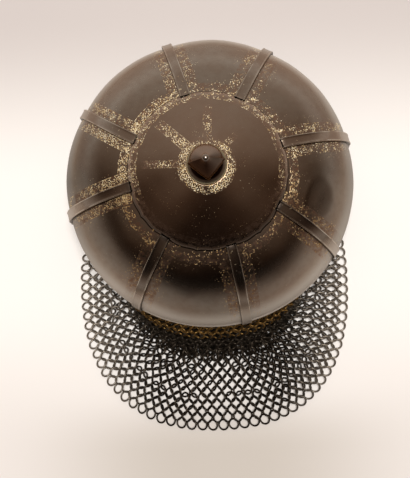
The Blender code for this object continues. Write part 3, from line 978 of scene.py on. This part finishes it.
def skull_material():
    """Scrollwork beside the ribs and round the crown plate, with dust of gold round it; painted shade along
    the crown plate's edge towards -Y and beside the ribs.
    """
    made, g = material("russet_koftgari")
    side, run, ring, lane = (g.attribute(name) for name in ("side", "run", "ring", "lane"))
    keep, low, inside, radius = (g.attribute(name) for name in ("keep", "low", "inside", "radius"))
    azimuth = azimuth_of(g)
    turn = azimuth * (PER_DEGREE * CROWN_RADIUS)
    where = g.coordinates()
    beside = side - (RIB_HALF + 0.25)
    field_a, lines_a, area_a = scrolls(g, run + lane * 3.7, beside, *RIB_BAND)
    out = ring - (0.5 + low * 2.7)
    field_b, lines_b, area_b = scrolls(g, turn, out, *EDGE_BAND)
    clear = (1.0 - inside) * g.step(radius, 99.0, 97.5)
    body = g.maximum(field_a * area_a, field_b * area_b)
    edges = g.maximum(lines_a * area_a, lines_b * (area_b * g.step(beside, 5.8, 6.4)))
    alive = worn(g, where, keep - (1.0 - low) * 0.24 * g.step(beside, 5.0, 8.0))
    gold = clear * g.maximum(body * alive, edges * worn(g, where, keep * 0.8))
    around = clear * g.maximum(g.step(beside, 15.0, 5.0), g.step(ring, 17.0, 5.0))
    spread = around * g.step(g.noise(where, 90.0), 0.4, 0.56)
    dust = spread * g.step(g.voronoi(where, 560.0) - low * 0.08, 0.19, 0.11)
    area = clear * g.maximum(area_a, area_b)
    reddened = 0.36 + low * 0.2 + keep * 0.42
    # painted shade: a near-black line at the crown plate's edge on the -Y side, and a painted contact
    # shadow beside the ribs
    painted_shade_by_crown = low * g.step(ring, 0.65, 0.35)
    painted_shadow_by_rib = g.step(side, RIB_HALF + 0.2, RIB_HALF - 0.1) * g.step(ring, 1.0, 1.8)
    long_scratch = g.near(azimuth, -167.0, 0.25, 0.25) * g.near(radius, 79.0, 2.6, 1.2)
    speck = g.near(azimuth, -7.4, 0.35, 0.3) * g.near(radius, 65.0, 0.5, 0.4)
    steel_surface(
        g,
        gold=g.maximum(gold, dust * 0.8),
        copper=area * (g.step(g.noise(where, 420.0), 0.3, 0.7) * reddened),
        dark=g.maximum(painted_shade_by_crown, painted_shadow_by_rib),
        marks_and_sheen=g.maximum(long_scratch, speck),
        shade=g.attribute("shade"),
        # dust by the rim, light enough to be partly a painted sheen for the rim's bright reflection
        dust_and_sheen=g.step(radius, 89.0, 97.0),
        haze=(0.07 + low * 0.11) * g.step(radius, 66.0, 86.0),
        # painted shade on the gold towards -Y
        painted_gold_shade=low,
    )
    return made


CROWN_STRIPS = (
    # azimuth, half width, inner end, outer end, gold left
    (135.0, 3.5, 18.0, 43.0, 0.92),
    (88.0, 2.9, 18.5, 41.0, 0.68),
    (174.7, 2.6, 18.0, 41.0, 0.62),
    (46.5, 2.2, 19.0, 27.0, 0.60),
)


def crown_material():
    """Scrollwork inside the plate's edge, in strips from the middle out and round the collar, with painted
    shade along the edge and towards -Y.
    """
    made, g = material("russet_crown")
    radius, ring, keep, low = (g.attribute(name) for name in ("radius", "ring", "keep", "low"))
    azimuth = azimuth_of(g)
    turn = azimuth * (PER_DEGREE * CROWN_RADIUS)
    where = g.coordinates()
    out = ring * -ON_SLOPE - (0.2 + low)
    field, lines, area = scrolls(g, turn, out, *EDGE_BAND)
    kept = keep * 0.72 - low * 0.55
    gold_parts = [g.maximum(field, lines) * area * worn(g, where, kept)]
    areas = [area]
    for centre, half, start, end, left in CROWN_STRIPS:
        wrapped = g.math("MODULO", azimuth - centre + 900.0, 360.0) - 180.0
        across = g.math("SINE", wrapped * PER_DEGREE) * radius + half
        between = g.step(radius, start - 0.5, start + 0.5) * g.step(radius, end + 2.0, end - 2.0)
        fade = g.step(abs(wrapped), 60.0, 50.0) * between
        field, lines, area = scrolls(g, radius, across, 2.0 * half, STRIP_PERIOD, STRIP_STROKE)
        area = area * fade
        kept = left - g.step(radius, start, end) * 0.45
        gold_parts.append(g.maximum(field, lines * 0.7) * area * worn(g, where, kept))
        areas.append(area)
    field, lines, area = scrolls(g, turn * (15.5 / CROWN_RADIUS), radius - 12.6, *COLLAR_BAND)
    area = area * g.step(radius, 20.0, 19.0)
    rest = 0.22 + keep * 0.74 + low * 0.68 - g.step(radius, 16.5, 19.0) * 0.35
    gold_parts.append(field * area * worn(g, where, rest))
    gold_parts.append(lines * area * worn(g, where, rest - 0.45))
    areas.append(area)
    grains = g.step(g.voronoi(where, 520.0) - low * 0.03, 0.15, 0.07)
    specks = grains * g.step(g.noise(where, 60.0) + low * 0.04, 0.5, 0.62)
    gold = g.maximum(g.maximum(*gold_parts), specks * 0.5)
    reddened = g.step(g.noise(where, 420.0), 0.35, 0.65) * (0.2 + keep * 0.35)
    shaded = g.maximum(g.step(ring, -0.75, -0.15), low * 0.75 * g.step(ring, -2.0, -1.2))
    steel_surface(
        g,
        gold=gold,
        copper=g.maximum(*areas) * reddened,
        dark=shaded * (1.0 - gold * 0.6),
        marks_and_sheen=g.maximum(
            g.near(azimuth, -176.4, 0.5, 0.4) * g.near(radius, 48.6, 1.0, 0.6),
            g.near(azimuth, -166.0, 0.5, 0.4) * g.near(radius, 47.2, 1.4, 0.6),
        ),
        # painted shade: the plate's steel darker towards -Y
        shade=1.0 - g.step(radius, 20.0, 34.0) * (low * 0.25),
        red=1.0,
        # painted shade on the gold towards -Y
        painted_gold_shade=low * g.step(radius, 22.0, 34.0),
    )
    return made


def rib_material():
    """Steel lighter along the borders, a painted highlight with some rubbed wear; dusty by the rim, partly
    a painted sheen; painted shade in its crevices and on the ribs towards -Y; few traces of gold.
    """
    made, g = material("russet_rib")
    where = g.coordinates()
    run, low, across = g.attribute("run"), g.attribute("low"), abs(g.attribute("across"))
    trace = g.step(g.noise(where, 500.0, 2.0), 0.66, 0.72) * g.step(run, 25.0, 45.0)
    # painted shade at the ribs' edges and at the inner ends of the ribs towards -Y
    crevice_shade = g.maximum(g.step(run, 46.8, 48.6) * low, g.step(across, RIB_HALF - 0.12, RIB_HALF - 0.02))
    # painted highlight along the raised borders, partly rubbed wear
    painted_sheen = g.near(across, RIB_HALF * 0.82, 0.16, 0.2) * g.step(g.noise(where, 130.0), 0.35, 0.55)
    steel_surface(
        g,
        gold=trace * 0.5,
        copper=g.noise(where, 90.0) * 0.12,
        dark=crevice_shade * 0.85,
        marks_and_sheen=painted_sheen * 1.6,
        # painted shade: ribs towards -Y darker, but not near the rim
        shade=0.92 - low * (g.step(run, 4.0, 16.0) * 0.34),
        # dust by the rim, light enough to be partly a painted sheen
        dust_and_sheen=g.step(run, 13.0, 3.0) * 0.75,
    )
    return made


def finial_material():
    """Dark steel with a yellower collar, painted nearly black as shade on the bud's sides towards -Y,
    towards the edges of its round side and on the neck.
    """
    made, g = material("dark_finial")
    where = g.coordinates()
    cloud = g.noise(where, 70.0)
    collar = g.attribute("collar")
    colour = g.mix(cloud, (0.20, 0.155, 0.125), (0.31, 0.262, 0.222))
    colour = g.mix(collar, colour, (0.30, 0.255, 0.165))
    g.principled(
        # painted shade from the points' values
        Base_Color=g.mix(g.attribute("facet") * 0.98, colour, (0.016, 0.006, 0.003)),
        Metallic=1.0,
        Roughness=0.16 + cloud * 0.1 + collar * 0.2,
        Specular_Tint=(0.95, 0.72, 0.58),
        Normal=g.bump(g.noise(where, 500.0), 0.0001, 0.25),
    )
    return made


def mail_material(name, dark, light, dirt, painted_sheen):
    """Metal whose rings differ in shade, with grime, and a painted sheen that makes them lighter at the
    helmet's sides.
    """
    made, g = material(name)
    where = g.coordinates()
    shades = g.attribute("tint") * 0.6 + g.noise(where, 120.0) * 0.4
    grime = g.step(g.noise(where, 700.0), 0.45, 0.65)
    colour = g.mix(grime * 0.6, g.mix(shades, dark, light), dirt)
    # painted sheen: rings lighter towards the helmet's sides
    at_sides = g.step(abs(g.apart(where)[0]), 0.042, 0.096)
    g.principled(
        Base_Color=g.mix(at_sides * painted_sheen, colour, (0.29, 0.25, 0.205)),
        Metallic=0.85,
        Roughness=0.34 + grime * 0.2,
        Normal=g.bump(g.noise(where, 1500.0, 2.0), 0.0001, 0.5),
    )
    return made


# ------------------------------ studio

def make_floor():
    """A pale surface with painted shade: darker towards +Y and towards -Y, with a painted shadow near the
    mail's hem.
    """
    made, g = material("pale_floor")
    where = g.coordinates()
    x, y, _ = g.apart(where)
    # painted shadow on the floor by the mail's hem at the back
    painted_hem_shadow = g.step(y, -0.105, -0.155) * g.step(abs(x), 0.17, 0.02)
    colour = (0.90, 0.872, 0.840)
    # painted shade: the floor darker towards +Y and -Y
    for share, towards in (
        (g.step(y, 0.04, 0.18), (0.585, 0.535, 0.515)),
        (g.step(y, -0.03, -0.16) * 0.8, (0.71, 0.665, 0.635)),
        (painted_hem_shadow, (0.53, 0.485, 0.435)),
        (g.step(y, -0.21, -0.40), (0.36, 0.33, 0.30)),
    ):
        colour = g.mix(share, colour, towards)
    g.principled(Base_Color=colour, Roughness=0.6, Normal=g.bump(g.noise(where, 400.0), 0.0001, 0.1))
    mesh = bpy.data.meshes.new("floor")
    mesh.from_pydata([(-3, -3, 0), (3, -3, 0), (3, 3, 0), (-3, 3, 0)], [], [(0, 1, 2, 3)])
    mesh.materials.append(made)
    floor = bpy.data.objects.new("floor", mesh)
    bpy.context.scene.collection.objects.link(floor)


def make_world():
    """A room by direction: brighter towards +Y and near the horizon, darker in a band and towards -Y."""
    world = bpy.data.worlds.new("studio")
    world.use_nodes = True
    bpy.context.scene.world = world
    g = Graph(world.node_tree)
    x, y, z = g.apart(g.coordinates("Generated"))
    sky = 0.225 + (g.math("MAXIMUM", y, 0.0) * 0.38 + x * -0.02)
    sky = sky * (0.03 + g.step(y, -0.82, -0.2) * 0.97)
    band = g.near(z, 0.47, 0.07, 0.12) * g.step(y, 0.45, -0.2)
    sky = sky * (1.0 - band * 0.72)
    level = g.lerp(g.step(z, 0.36, 0.04), sky, 0.88)
    colour = g.vector(level, level ** 1.2, level ** 1.38)
    g.node("ShaderNodeOutputWorld", {0: g.node("ShaderNodeBackground", {0: colour, 1: 1.0})})


def make_lights():
    sun = bpy.data.lights.new("ceiling", "SUN")
    sun.energy = 2.9
    sun.angle = math.radians(24.0)
    sun.color = (1.0, 0.985, 0.965)
    item = bpy.data.objects.new("ceiling", sun)
    item.rotation_euler = (math.radians(-5.0), math.radians(3.0), 0.0)
    bpy.context.scene.collection.objects.link(item)


def make_camera():
    camera = bpy.data.cameras.new("camera")
    camera.sensor_fit = "AUTO"
    camera.sensor_width = 36.0
    camera.lens = CAMERA_LENS
    camera.clip_start = 0.01
    forward = Vector(CAMERA_FORWARD).normalized()
    right = forward.cross(Vector(CAMERA_UP)).normalized()
    turned = Matrix((right, right.cross(forward), -forward)).transposed().to_4x4()
    item = bpy.data.objects.new("camera", camera)
    item.matrix_world = Matrix.Translation(CAMERA_PLACE) @ turned
    bpy.context.scene.collection.objects.link(item)
    bpy.context.scene.camera = item


# dark, light and dirt of the mail's two metals
BLACKENED = ((0.015, 0.0105, 0.0065), (0.060, 0.046, 0.033), (0.012, 0.008, 0.0045))
BRASS = ((0.09, 0.046, 0.011), (0.27, 0.150, 0.042), (0.030, 0.018, 0.008))

make_skull(skull_material())
make_crown(crown_material())
make_ribs(rib_material())
make_finial(finial_material())
make_mail(mail_material("mail_blackened", *BLACKENED, 0.85), mail_material("mail_brass", *BRASS, 0.0))
make_floor()
make_world()
make_lights()
make_camera()

view = bpy.context.scene.view_settings
view.view_transform = "Standard"
view.look = "None"
view.exposure = 0.0
view.gamma = 1.0
